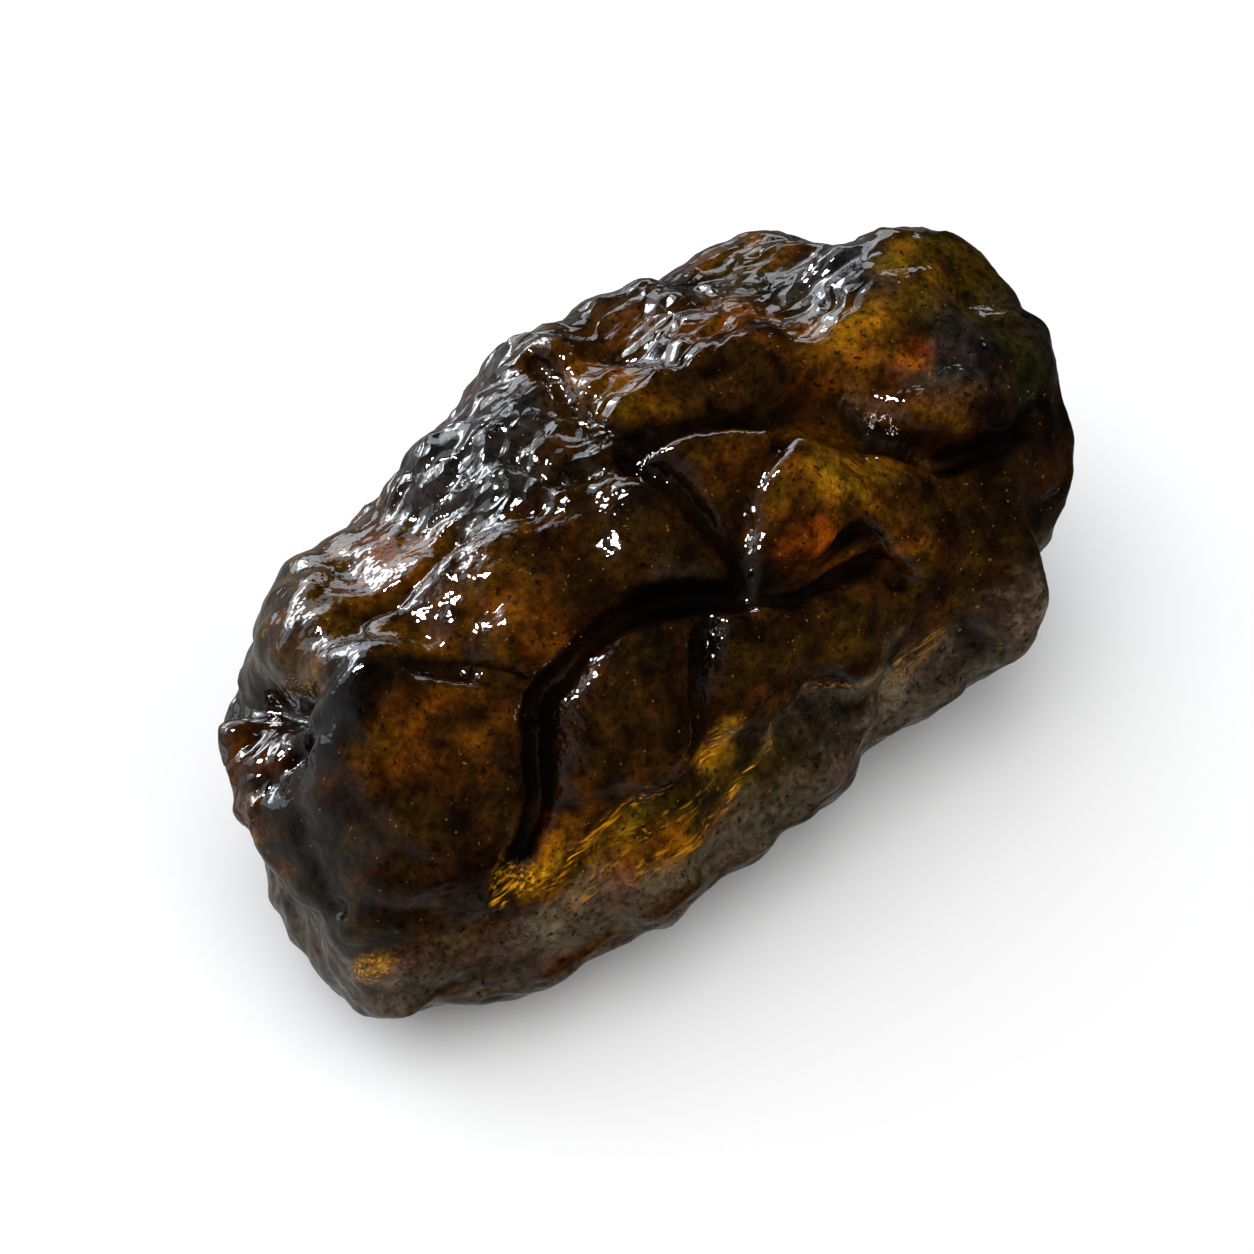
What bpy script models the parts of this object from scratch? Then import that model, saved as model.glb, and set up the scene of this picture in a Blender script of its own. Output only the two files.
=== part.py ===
"""A raw amber piece: one solid, natural lump lying on its worn underside.

The lump is worked out in millimetres, as a field that is zero on its surface. A few large masses give the
bulk, swelling lobes lie on it like pebbles, and furrows are cut where the lobes meet. A ball's mesh is
drawn onto that surface and thinned out.

A place on the lump is a station, the distance along its length, and a clock angle round its length:
0 degrees faces -Y, 90 up, 180 +Y and 270 down.
"""

import math

import bmesh
import bpy
import numpy as np

MM = 0.001
AXIS_Y = 2.0
AXIS_Z = 11.0

# The bulk. Name: centre x, y, z and radii x, y, z.
MASSES = {
    "middle": ((0.0, 1.5, 12.0), (26.0, 12.0, 10.8)),
    "near_foot": ((-3.2, -4.4, 6.0), (20.4, 8.6, 7.0)),
    "near_right_foot": ((11.0, -2.4, 7.0), (12.0, 8.2, 7.5)),
    "far_back": ((4.5, 8.2, 13.5), (18.0, 8.2, 9.5)),
    "left_end": ((-14.5, 3.0, 9.5), (11.8, 9.8, 9.6)),
    "left_foot": ((-17.0, -0.9, 6.6), (10.9, 8.0, 6.6)),
    "near_corner": ((15.5, -4.5, 8.5), (7.0, 7.0, 7.0)),
    "sole": ((0.0, 0.5, 3.0), (22.5, 9.5, 6.5)),
    "right_end": ((19.5, 1.0, 12.0), (10.2, 10.5, 10.0)),
    "right_shoulder": ((21.0, 4.3, 13.5), (9.0, 6.3, 8.0)),
}
MASS_BLEND = 3.0

# The bulk is drawn in by this much, so that the lobes on it reach its former size.
BED_DEPTH = 1.0

# The lobes, each a lens half sunk in the bulk's bed. Name: station, clock, half length, half width, rise over
# the bed, and turn from along the length, towards a growing clock angle.
LOBES = {
    "crest_nose": (3, 110, 6.0, 4.4, 2.4, -50),
    "crest_long": (13.6, 94, 9.6, 5.3, 2.6, -25),
    "wedge": (4.6, 78, 4.8, 3.7, 2.2, -20),
    "round_boss": (9.3, 47.5, 6.8, 5.0, 3.2, -36),
    "round_boss_foot": (5.8, 44, 3.2, 3.2, 2.3, -55),
    "round_boss_tail": (12.5, 25, 5.2, 3.8, 2.2, -45),
    "centre": (-1.8, 70, 6.0, 5.4, 2.7, -60),
    "long_left": (-11, 78, 9.0, 5.2, 2.5, -20),
    "upper_left": (-14, 128, 6.4, 5.2, 2.2, -50),
    "upper_left_lip": (-19, 118, 5.8, 3.6, 2.8, -70),
    "upper_left_bead": (-16, 95, 3.6, 2.6, 2.1, 45),
    "left_brow": (-18.3, 58, 6.4, 4.2, 2.7, -25),
    "left_cheek": (-21.2, 27, 8.8, 7.2, 3.0, 80),
    "valley_grain": (-19.5, 86, 3.6, 1.9, 1.6, -25),
    "tip_brow": (-23.5, 112, 2.8, 1.9, 1.5, -20),
    "tip": (-24.8, 137, 2.4, 1.9, 2.1, 40),
    "tip_side": (-26, 76, 4.4, 2.0, 1.8, 65),
    "knuckle_1": (-7.9, 43, 4.9, 3.8, 3.0, -14),
    "knuckle_2": (-9.6, 29.5, 5.2, 4.1, 2.8, -10),
    "knuckle_3": (-12.3, 18, 5.4, 5.0, 2.3, 20),
    "lower_middle": (0.3, 26, 6.4, 5.2, 2.9, -14),
    "lower_middle_right": (6.5, 16, 6.2, 4.6, 2.1, -20),
    "lower_right": (13, 10, 7.4, 4.8, 2.1, -15),
    "corner_knob": (18.5, 352, 4.6, 4.0, 2.1, 90),
    "shoulder": (24.5, 82, 4.2, 6.0, 2.1, -40),
    "shoulder_step": (19.5, 64, 4.0, 3.8, 2.0, 70),
    "under_shoulder": (17, 53, 4.6, 3.0, 1.9, -25),
    "end_ridge": (22.5, 47, 5.0, 4.2, 1.8, 55),
    "end_boss": (22, 19, 5.6, 4.4, 1.9, -45),
    "end_boss_side": (17.8, 18, 4.0, 3.8, 2.0, -30),
    "far_crest_1": (9, 130, 3.6, 4.0, 1.3, 0),
    "far_crest_2": (17.5, 127, 4.8, 4.0, 1.9, -55),
    "far_crest_3": (20, 110, 4.0, 3.0, 2, -70),
    "far_crest_4": (11, 143, 5.0, 3.5, 1.6, 10),
    "far_crest_5": (18.5, 141, 6.0, 4.0, 3.8, 0),
    "far_left_1": (1.5, 142, 3.4, 4.5, 2.9, 5),
    "far_left_2": (4.5, 134, 2.8, 2.8, 2.2, -75),
    "far_left_3": (-6, 131, 3.2, 3.8, 2.6, 5),
    "far_left_4": (-5, 117, 2.6, 2.2, 2.1, 60),
    "far_left_5": (-8.5, 121, 2.4, 3.0, 2, -25),
    "saddle_bed": (-4, 108, 7.5, 6, 1.1, -20),
    "saddle_1": (-2, 116, 3.2, 2.9, 2.3, 70),
    "saddle_2": (-1, 102, 3.7, 3.2, 2.1, -55),
    "saddle_3": (-6, 107, 3.0, 3.1, 2.1, -50),
    "left_side": (-25, 350, 4.5, 4.0, 1.8, 70),
    "left_side_toe": (-25, 315, 4.5, 3.5, 1.8, -50),
    "skirt_1": (-21, 349, 7, 4.2, 1.6, -6),
    "skirt_2": (-13.5, 352, 7.5, 4.6, 2.1, 3),
    "skirt_3": (-5, 354, 7.5, 4.4, 1.3, 0),
    "skirt_4": (4, 354, 7.5, 4.2, 0.9, 0),
    "skirt_5": (12, 349, 8, 4.4, 2.4, -5),
    "far_1": (-18.3, 165, 5.0, 4.5, 1.3, 30),
    "upper_left_back": (-17, 145, 4.8, 4.0, 3.5, 20),
    "far_2": (-9.5, 155, 5.0, 4.0, 1.5, -20),
    "far_3": (-12, 185, 6.5, 5.0, 2, 10),
    "far_4": (-1, 160, 5.0, 4.5, 2.1, 40),
    "far_5": (-2, 188, 6.0, 4.5, 2.2, -15),
    "far_6": (8, 158, 5.5, 4.0, 2.1, -30),
    "far_7": (9, 182, 6.5, 5.0, 2.2, 20),
    "far_8": (18, 160, 5.5, 4.5, 2, 15),
    "far_9": (20, 188, 5.5, 5.0, 2, -40),
    "far_10": (3, 212, 8.0, 4.0, 1.7, 0),
    "far_11": (-16, 212, 6.0, 4.0, 1.6, 10),
    "far_12": (16, 214, 6.0, 4.0, 1.6, -10),
    "end_1": (27, 140, 4.0, 3.5, 1.8, 20),
    "end_2": (27.5, 40, 3.0, 4.5, 1.6, 0),
    "end_3": (27, 200, 4.0, 3.5, 1.7, 60),
    "end_4": (26, 345, 4.5, 4.0, 2.3, -60),
    "end_5": (27.5, 95, 3.0, 3.5, 2, 0),
}
LOBE_BLEND = 1.4
LOBE_SHOWN = 0.55  # the share of a lobe's own half thickness that rises over the bed

# The furrows. Name: half width, depth, then (station, clock) along it.
FURROWS = {
    "main": (0.52, 2.0, ((0.5, 46), (-2.5, 50), (-4.7, 53), (-7, 56), (-9.2, 57), (-11.2, 54), (-12.5, 50),
                         (-13.5, 45), (-14.5, 37), (-15.2, 29), (-16, 21), (-17.2, 14), (-18.4, 7))),
    "main_right": (0.36, 1.3, ((0.5, 46), (3, 36), (6.5, 30), (9, 28), (11, 17))),
    "left": (0.36, 1.3, ((-13, 56), (-15, 67), (-17, 77), (-18.3, 84), (-20.5, 95), (-22, 111),
                         (-22.5, 130))),
    "left_flank": (0.5, 0.35, ((-23.4, 92), (-24.6, 62), (-25, 35), (-24.6, 5))),
    "under_brow": (0.3, 1.1, ((-23.7, 94), (-21.7, 84), (-19.2, 77), (-17.6, 76))),
    "centre_right": (0.4, 1.6, ((-0.2, 94), (0.4, 85), (1.2, 70), (1.4, 59), (1.1, 50), (0.9, 45))),
    "under_crest": (0.44, 1.9, ((1.7, 92), (4.5, 87), (7.6, 83), (10.5, 82), (12.8, 72), (14.3, 58),
                                (15.4, 49), (17.2, 40), (20.3, 34), (23.6, 33))),
    "crest_nose": (0.35, 1.2, ((0.3, 124), (0, 114), (0.6, 102), (1.7, 92))),
    "wedge_right": (0.3, 1.1, ((9.8, 78), (7.6, 72), (5.7, 67), (3.7, 62), (1.8, 55))),
    "below_boss": (0.34, 1.0, ((2, 45), (4.2, 38), (6.8, 38), (8.5, 38), (9.6, 26), (11, 16))),
    "between_knuckles": (0.34, 1.0, ((-1.2, 47), (-2.4, 42), (-3.5, 37), (-4.7, 31), (-5.9, 25), (-7.6, 19))),
    "knuckle_crease": (0.28, 0.35, ((-12.8, 41), (-9.6, 42), (-6.9, 37), (-5, 36))),
    "brow_notch": (0.3, 0.6, ((-15.4, 36), (-16.4, 41), (-17.6, 42))),
    "left_saddle": (0.33, 0.8, ((-10, 109), (-12.3, 105), (-14.8, 103), (-16.3, 103), (-17.9, 95))),
    "saddle_edge": (0.3, 0.7, ((-4.4, 107), (-3.9, 98), (-1.6, 94))),
    "under_step": (0.32, 0.8, ((13.4, 75), (15.4, 69), (17.9, 64))),
}
# A furrow's sides bend in by this power of the distance, and it follows the lobes it cuts up and down, where
# the distance counts by a smaller share.
FURROW_EDGE = 1.7
FURROW_SLANT = 0.35

# Waves in random directions. Those in BENDS shift the whole pattern sideways, and those in RELIEF raise and
# lower the surface. Each: wavelength, how far they push, how many.
BENDS = (9.0, 0.35, 9)
RELIEF = ((6.5, 0.22, 14), (2.6, 0.09, 24))
SEED = 23

# The underside is worn flat at z = 0, with its edge rounded over about this much.
WORN_EDGE = 1.5

# The mesh: a ball is stretched over the lump from points of an axis line inside it.
BALL_SUBDIVISIONS = 7
AXIS_HALF = 17.5
STRETCH = (36.0, 22.0, 20.0)
REACH = 24.0
EVENING_ROUNDS = 8
EVENING_SHARE = 0.6
LARGEST_STEP = 0.25
PROBE = 0.03
TRIANGLES = 8400


def ellipsoid_distance(points, centre, axes, radii):
    """Close to the distance from an ellipsoid whose local axes are the rows of axes."""
    local = (points - centre) @ axes.T
    near = np.linalg.norm(local / radii, axis=1)
    steep = np.linalg.norm(local / np.square(radii), axis=1)
    return near * (near - 1) / np.maximum(steep, 1e-9)


def smooth_union(a, b, blend):
    mix = np.maximum(blend - np.abs(a - b), 0) / blend
    return np.minimum(a, b) - mix * mix * blend / 4


def bulk_distance(points):
    found = None
    for centre, radii in MASSES.values():
        d = ellipsoid_distance(points, np.array(centre), np.eye(3), np.array(radii))
        found = d if found is None else smooth_union(found, d, MASS_BLEND)
    return found


def bulk_normal(point):
    step = 0.05 * np.eye(3)
    slope = bulk_distance(point + step) - bulk_distance(point - step)
    return slope / np.linalg.norm(slope)


def bulk_place(station, clock):
    """The point of the bulk's surface at a station and clock angle."""
    angle = math.radians(clock)
    out = np.array([0.0, -math.cos(angle), math.sin(angle)])
    start = np.array([station, AXIS_Y, AXIS_Z])
    inside, outside = 0.5, 30.0
    for _ in range(30):
        middle = (inside + outside) / 2
        if bulk_distance((start + out * middle)[None])[0] < 0:
            inside = middle
        else:
            outside = middle
    return start + out * inside


def lobe_solids():
    """Each lobe as an ellipsoid: its centre, axes and radii."""
    solids = []
    for station, clock, long, wide, rise, turn in LOBES.values():
        place = bulk_place(station, clock)
        normal = bulk_normal(place)
        along = np.array([1.0, 0.0, 0.0]) - normal * normal[0]
        along /= np.linalg.norm(along)
        around = np.cross(normal, along)
        angle = math.radians(turn)
        ahead = along * math.cos(angle) + around * math.sin(angle)
        axes = np.array([ahead, np.cross(normal, ahead), normal])
        thick = rise / LOBE_SHOWN
        spread = 1 / math.sqrt(1 - (1 - LOBE_SHOWN) ** 2)
        top = place + normal * (rise - BED_DEPTH)
        solids.append((top - normal * thick, axes, np.array([long * spread, wide * spread, thick])))
    return solids


def path_distance(points, path, normals):
    """The distance from a path, where only a small share of what lies along its normals counts."""
    found = np.full(len(points), np.inf)
    for start, end, normal in zip(path[:-1], path[1:], normals):
        step = end - start
        share = np.clip((points - start) @ step / (step @ step), 0, 1)
        away = points - start - share[:, None] * step
        away -= (1 - FURROW_SLANT) * np.outer(away @ normal, normal)
        found = np.minimum(found, np.linalg.norm(away, axis=1))
    return found


def plane_waves(rng, wavelength, count):
    """Wave vectors in random directions, near one wavelength, each with a random phase."""
    ways = rng.normal(size=(count, 3))
    ways /= np.linalg.norm(ways, axis=1)[:, None]
    lengths = wavelength * rng.uniform(0.75, 1.35, count)
    return ways * (2 * math.pi / lengths)[:, None], rng.uniform(0, 2 * math.pi, count)


class Lump:
    """The lump's field, with its lobes, furrows and waves worked out once."""

    def __init__(self):
        self.lobes = lobe_solids()
        self.furrows = []
        for width, depth, places in FURROWS.values():
            path = np.array([bulk_place(station, clock) for station, clock in places])
            normals = np.array([bulk_normal(place) for place in path])
            self.furrows.append((width, depth, path, normals))
        rng = np.random.default_rng(SEED)
        wavelength, push, count = BENDS
        self.bends = [plane_waves(rng, wavelength, count) for _ in range(3)]
        self.relief = [(push, plane_waves(rng, wavelength, count)) for wavelength, push, count in RELIEF]

    def bent(self, points):
        _, push, count = BENDS
        shift = [np.sin(points @ ways.T + phases).sum(axis=1) for ways, phases in self.bends]
        return points + push * math.sqrt(2 / count) * np.stack(shift, axis=1)

    def __call__(self, points):
        bent = self.bent(points)
        found = bulk_distance(bent) + BED_DEPTH
        for centre, axes, radii in self.lobes:
            found = smooth_union(found, ellipsoid_distance(bent, centre, axes, radii), LOBE_BLEND)
        dip = np.zeros(len(points))
        for width, depth, path, normals in self.furrows:
            near = path_distance(bent, path, normals) / (2 * width)
            dip = np.maximum(dip, depth * np.exp(-near ** FURROW_EDGE))
        found += dip
        for push, (ways, phases) in self.relief:
            found += push * math.sqrt(2 / len(phases)) * np.sin(points @ ways.T + phases).sum(axis=1)
        return -smooth_union(-found, points[:, 2], WORN_EDGE)


def sphere_mesh():
    """A ball's points and triangles, on a unit sphere."""
    ball = bmesh.new()
    bmesh.ops.create_icosphere(ball, subdivisions=BALL_SUBDIVISIONS, radius=1.0)
    points = np.array([v.co[:] for v in ball.verts])
    triangles = np.array([[v.index for v in face.verts] for face in ball.faces])
    ball.free()
    return points, triangles


def farthest_crossing(lump, starts, ways):
    """How far out along each way the lump's surface is last crossed."""
    steps = np.linspace(0.0, REACH, 40)
    inside = np.zeros(len(starts))
    for step in steps:
        inside[lump(starts + ways * step) < 0] = step
    outside = inside + steps[1]
    for _ in range(14):
        middle = (inside + outside) / 2
        within = lump(starts + ways * middle[:, None]) < 0
        inside = np.where(within, middle, inside)
        outside = np.where(within, outside, middle)
    return inside


def slopes(lump, points, values):
    """How fast the field grows along X, Y and Z at each point."""
    found = np.empty_like(points)
    for axis in range(3):
        step = np.zeros(3)
        step[axis] = PROBE
        found[:, axis] = (lump(points + step) - values) / PROBE
    return found


def evened(lump, points, triangles):
    """The points slid along the surface until the triangles are more alike in size.

    Each round moves a point sideways, towards the middle of its neighbours, and then back to the surface.
    """
    edges = np.concatenate([triangles[:, [0, 1]], triangles[:, [1, 2]], triangles[:, [2, 0]]])
    count = np.bincount(edges[:, 0], minlength=len(points))
    for _ in range(EVENING_ROUNDS):
        sums = [np.bincount(edges[:, 0], points[edges[:, 1], axis], len(points)) for axis in range(3)]
        shift = np.stack(sums, axis=1) / count[:, None] - points
        values = lump(points)
        slope = slopes(lump, points, values)
        steep = np.maximum((slope * slope).sum(axis=1), 0.2)
        normal = slope / np.sqrt(steep)[:, None]
        points = points + EVENING_SHARE * (shift - normal * (shift * normal).sum(axis=1)[:, None])
        back = -(lump(points) / steep)[:, None] * slope
        size = np.maximum(np.linalg.norm(back, axis=1), 1e-9)
        points = points + back * np.minimum(1, LARGEST_STEP / size)[:, None]
    return points


def lump_mesh():
    """The lump's points, in millimetres, and its triangles: a ball drawn out onto the lump's surface."""
    lump = Lump()
    ball, triangles = sphere_mesh()
    axis = np.array([0.0, AXIS_Y, AXIS_Z])
    starts = ball * (AXIS_HALF, 0, 0) + axis
    ways = ball * STRETCH + axis - starts
    ways /= np.linalg.norm(ways, axis=1)[:, None]
    points = starts + ways * farthest_crossing(lump, starts, ways)[:, None]
    return evened(lump, points, triangles), triangles


def amber_material():
    material = bpy.data.materials.new("amber")
    material.use_nodes = True
    shader = material.node_tree.nodes["Principled BSDF"]
    shader.inputs["Base Color"].default_value = (0.36, 0.2, 0.04, 1)
    shader.inputs["Roughness"].default_value = 0.12
    shader.inputs["IOR"].default_value = 1.54
    shader.inputs["Transmission Weight"].default_value = 0.4
    return material


def main():
    for thing in list(bpy.data.objects):
        bpy.data.objects.remove(thing)
    points, triangles = lump_mesh()
    middle = (points.max(axis=0) + points.min(axis=0)) / 2
    points -= (middle[0], middle[1], points[:, 2].min())
    mesh = bpy.data.meshes.new("amber")
    mesh.from_pydata((points * MM).tolist(), [], triangles.tolist())
    mesh.materials.append(amber_material())
    mesh.shade_smooth()
    lump = bpy.data.objects.new("amber", mesh)
    bpy.context.scene.collection.objects.link(lump)
    thinner = lump.modifiers.new("thinner", "DECIMATE")
    thinner.ratio = TRIANGLES / len(triangles)


if __name__ == "__main__":
    main()
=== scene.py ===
"""The looks of a raw amber piece: wet, see-through resin under a dark crust, on a white floor.

The lump keeps the form of its solid, which is worked out here again from the same named masses, lobes and
furrows, in millimetres. It then gets what a solid of few faces can't carry: wrinkles, streaks and pores, and
colours painted by lobe, with painted shade in its furrows, hollows and lobe rims, painted gold glow and
painted
glints. A place on the lump is a station, the distance along its length, and a clock angle round its length:
0 degrees faces -Y, 90 up, 180 +Y and 270 down.
"""

import math

import bmesh
import bpy
import numpy as np
from mathutils import Matrix, Vector, noise

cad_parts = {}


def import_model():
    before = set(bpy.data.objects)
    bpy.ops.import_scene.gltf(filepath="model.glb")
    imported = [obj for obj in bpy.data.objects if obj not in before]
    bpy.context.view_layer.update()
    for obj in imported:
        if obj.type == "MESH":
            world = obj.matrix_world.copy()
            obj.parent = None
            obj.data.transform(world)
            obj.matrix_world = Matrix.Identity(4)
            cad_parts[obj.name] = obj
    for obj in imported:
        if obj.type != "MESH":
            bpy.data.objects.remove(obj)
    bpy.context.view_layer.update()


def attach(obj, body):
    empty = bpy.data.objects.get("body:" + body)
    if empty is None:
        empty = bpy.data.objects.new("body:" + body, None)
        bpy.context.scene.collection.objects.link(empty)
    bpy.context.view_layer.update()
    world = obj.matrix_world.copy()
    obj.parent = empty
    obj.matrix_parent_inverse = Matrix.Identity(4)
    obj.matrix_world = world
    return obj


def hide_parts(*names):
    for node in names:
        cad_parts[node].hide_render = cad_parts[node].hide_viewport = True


MM = 0.001
AXIS_Y = 2.0
AXIS_Z = 11.0

# ---------------------------------------------------------------- the solid's form, as in its own source

# The bulk. Name: centre x, y, z and radii x, y, z.
MASSES = {
    "middle": ((0.0, 1.5, 12.0), (26.0, 12.0, 10.8)),
    "near_foot": ((-3.2, -4.4, 6.0), (20.4, 8.6, 7.0)),
    "near_right_foot": ((11.0, -2.4, 7.0), (12.0, 8.2, 7.5)),
    "far_back": ((4.5, 8.2, 13.5), (18.0, 8.2, 9.5)),
    "left_end": ((-14.5, 3.0, 9.5), (11.8, 9.8, 9.6)),
    "left_foot": ((-17.0, -0.9, 6.6), (10.9, 8.0, 6.6)),
    "near_corner": ((15.5, -4.5, 8.5), (7.0, 7.0, 7.0)),
    "sole": ((0.0, 0.5, 3.0), (22.5, 9.5, 6.5)),
    "right_end": ((19.5, 1.0, 12.0), (10.2, 10.5, 10.0)),
    "right_shoulder": ((21.0, 4.3, 13.5), (9.0, 6.3, 8.0)),
}
MASS_BLEND = 3.0

# The bulk is drawn in by this much, so that the lobes on it reach its former size.
BED_DEPTH = 1.0

# The lobes, each a lens half sunk in the bulk's bed. Name: station, clock, half length, half width, rise over
# the bed, and turn from along the length, towards a growing clock angle.
LOBES = {
    "crest_nose": (3, 110, 6.0, 4.4, 2.4, -50),
    "crest_long": (13.6, 94, 9.6, 5.3, 2.6, -25),
    "wedge": (4.6, 78, 4.8, 3.7, 2.2, -20),
    "round_boss": (9.3, 47.5, 6.8, 5.0, 3.2, -36),
    "round_boss_foot": (5.8, 44, 3.2, 3.2, 2.3, -55),
    "round_boss_tail": (12.5, 25, 5.2, 3.8, 2.2, -45),
    "centre": (-1.8, 70, 6.0, 5.4, 2.7, -60),
    "long_left": (-11, 78, 9.0, 5.2, 2.5, -20),
    "upper_left": (-14, 128, 6.4, 5.2, 2.2, -50),
    "upper_left_lip": (-19, 118, 5.8, 3.6, 2.8, -70),
    "upper_left_bead": (-16, 95, 3.6, 2.6, 2.1, 45),
    "left_brow": (-18.3, 58, 6.4, 4.2, 2.7, -25),
    "left_cheek": (-21.2, 27, 8.8, 7.2, 3.0, 80),
    "valley_grain": (-19.5, 86, 3.6, 1.9, 1.6, -25),
    "tip_brow": (-23.5, 112, 2.8, 1.9, 1.5, -20),
    "tip": (-24.8, 137, 2.4, 1.9, 2.1, 40),
    "tip_side": (-26, 76, 4.4, 2.0, 1.8, 65),
    "knuckle_1": (-7.9, 43, 4.9, 3.8, 3.0, -14),
    "knuckle_2": (-9.6, 29.5, 5.2, 4.1, 2.8, -10),
    "knuckle_3": (-12.3, 18, 5.4, 5.0, 2.3, 20),
    "lower_middle": (0.3, 26, 6.4, 5.2, 2.9, -14),
    "lower_middle_right": (6.5, 16, 6.2, 4.6, 2.1, -20),
    "lower_right": (13, 10, 7.4, 4.8, 2.1, -15),
    "corner_knob": (18.5, 352, 4.6, 4.0, 2.1, 90),
    "shoulder": (24.5, 82, 4.2, 6.0, 2.1, -40),
    "shoulder_step": (19.5, 64, 4.0, 3.8, 2.0, 70),
    "under_shoulder": (17, 53, 4.6, 3.0, 1.9, -25),
    "end_ridge": (22.5, 47, 5.0, 4.2, 1.8, 55),
    "end_boss": (22, 19, 5.6, 4.4, 1.9, -45),
    "end_boss_side": (17.8, 18, 4.0, 3.8, 2.0, -30),
    "far_crest_1": (9, 130, 3.6, 4.0, 1.3, 0),
    "far_crest_2": (17.5, 127, 4.8, 4.0, 1.9, -55),
    "far_crest_3": (20, 110, 4.0, 3.0, 2, -70),
    "far_crest_4": (11, 143, 5.0, 3.5, 1.6, 10),
    "far_crest_5": (18.5, 141, 6.0, 4.0, 3.8, 0),
    "far_left_1": (1.5, 142, 3.4, 4.5, 2.9, 5),
    "far_left_2": (4.5, 134, 2.8, 2.8, 2.2, -75),
    "far_left_3": (-6, 131, 3.2, 3.8, 2.6, 5),
    "far_left_4": (-5, 117, 2.6, 2.2, 2.1, 60),
    "far_left_5": (-8.5, 121, 2.4, 3.0, 2, -25),
    "saddle_bed": (-4, 108, 7.5, 6, 1.1, -20),
    "saddle_1": (-2, 116, 3.2, 2.9, 2.3, 70),
    "saddle_2": (-1, 102, 3.7, 3.2, 2.1, -55),
    "saddle_3": (-6, 107, 3.0, 3.1, 2.1, -50),
    "left_side": (-25, 350, 4.5, 4.0, 1.8, 70),
    "left_side_toe": (-25, 315, 4.5, 3.5, 1.8, -50),
    "skirt_1": (-21, 349, 7, 4.2, 1.6, -6),
    "skirt_2": (-13.5, 352, 7.5, 4.6, 2.1, 3),
    "skirt_3": (-5, 354, 7.5, 4.4, 1.3, 0),
    "skirt_4": (4, 354, 7.5, 4.2, 0.9, 0),
    "skirt_5": (12, 349, 8, 4.4, 2.4, -5),
    "far_1": (-18.3, 165, 5.0, 4.5, 1.3, 30),
    "upper_left_back": (-17, 145, 4.8, 4.0, 3.5, 20),
    "far_2": (-9.5, 155, 5.0, 4.0, 1.5, -20),
    "far_3": (-12, 185, 6.5, 5.0, 2, 10),
    "far_4": (-1, 160, 5.0, 4.5, 2.1, 40),
    "far_5": (-2, 188, 6.0, 4.5, 2.2, -15),
    "far_6": (8, 158, 5.5, 4.0, 2.1, -30),
    "far_7": (9, 182, 6.5, 5.0, 2.2, 20),
    "far_8": (18, 160, 5.5, 4.5, 2, 15),
    "far_9": (20, 188, 5.5, 5.0, 2, -40),
    "far_10": (3, 212, 8.0, 4.0, 1.7, 0),
    "far_11": (-16, 212, 6.0, 4.0, 1.6, 10),
    "far_12": (16, 214, 6.0, 4.0, 1.6, -10),
    "end_1": (27, 140, 4.0, 3.5, 1.8, 20),
    "end_2": (27.5, 40, 3.0, 4.5, 1.6, 0),
    "end_3": (27, 200, 4.0, 3.5, 1.7, 60),
    "end_4": (26, 345, 4.5, 4.0, 2.3, -60),
    "end_5": (27.5, 95, 3.0, 3.5, 2, 0),
}
LOBE_BLEND = 1.4
LOBE_SHOWN = 0.55  # the share of a lobe's own half thickness that rises over the bed

# The furrows. Name: half width, depth, then (station, clock) along it.
FURROWS = {
    "main": (0.52, 2.0, ((0.5, 46), (-2.5, 50), (-4.7, 53), (-7, 56), (-9.2, 57), (-11.2, 54), (-12.5, 50),
                         (-13.5, 45), (-14.5, 37), (-15.2, 29), (-16, 21), (-17.2, 14), (-18.4, 7))),
    "main_right": (0.36, 1.3, ((0.5, 46), (3, 36), (6.5, 30), (9, 28), (11, 17))),
    "left": (0.36, 1.3, ((-13, 56), (-15, 67), (-17, 77), (-18.3, 84), (-20.5, 95), (-22, 111),
                         (-22.5, 130))),
    "left_flank": (0.5, 0.35, ((-23.4, 92), (-24.6, 62), (-25, 35), (-24.6, 5))),
    "under_brow": (0.3, 1.1, ((-23.7, 94), (-21.7, 84), (-19.2, 77), (-17.6, 76))),
    "centre_right": (0.4, 1.6, ((-0.2, 94), (0.4, 85), (1.2, 70), (1.4, 59), (1.1, 50), (0.9, 45))),
    "under_crest": (0.44, 1.9, ((1.7, 92), (4.5, 87), (7.6, 83), (10.5, 82), (12.8, 72), (14.3, 58),
                                (15.4, 49), (17.2, 40), (20.3, 34), (23.6, 33))),
    "crest_nose": (0.35, 1.2, ((0.3, 124), (0, 114), (0.6, 102), (1.7, 92))),
    "wedge_right": (0.3, 1.1, ((9.8, 78), (7.6, 72), (5.7, 67), (3.7, 62), (1.8, 55))),
    "below_boss": (0.34, 1.0, ((2, 45), (4.2, 38), (6.8, 38), (8.5, 38), (9.6, 26), (11, 16))),
    "between_knuckles": (0.34, 1.0, ((-1.2, 47), (-2.4, 42), (-3.5, 37), (-4.7, 31), (-5.9, 25), (-7.6, 19))),
    "knuckle_crease": (0.28, 0.35, ((-12.8, 41), (-9.6, 42), (-6.9, 37), (-5, 36))),
    "brow_notch": (0.3, 0.6, ((-15.4, 36), (-16.4, 41), (-17.6, 42))),
    "left_saddle": (0.33, 0.8, ((-10, 109), (-12.3, 105), (-14.8, 103), (-16.3, 103), (-17.9, 95))),
    "saddle_edge": (0.3, 0.7, ((-4.4, 107), (-3.9, 98), (-1.6, 94))),
    "under_step": (0.32, 0.8, ((13.4, 75), (15.4, 69), (17.9, 64))),
}
# A furrow's sides bend in by this power of the distance, and it follows the lobes it cuts up and down, where
# the distance counts by a smaller share.
FURROW_EDGE = 1.7
FURROW_SLANT = 0.35

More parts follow.
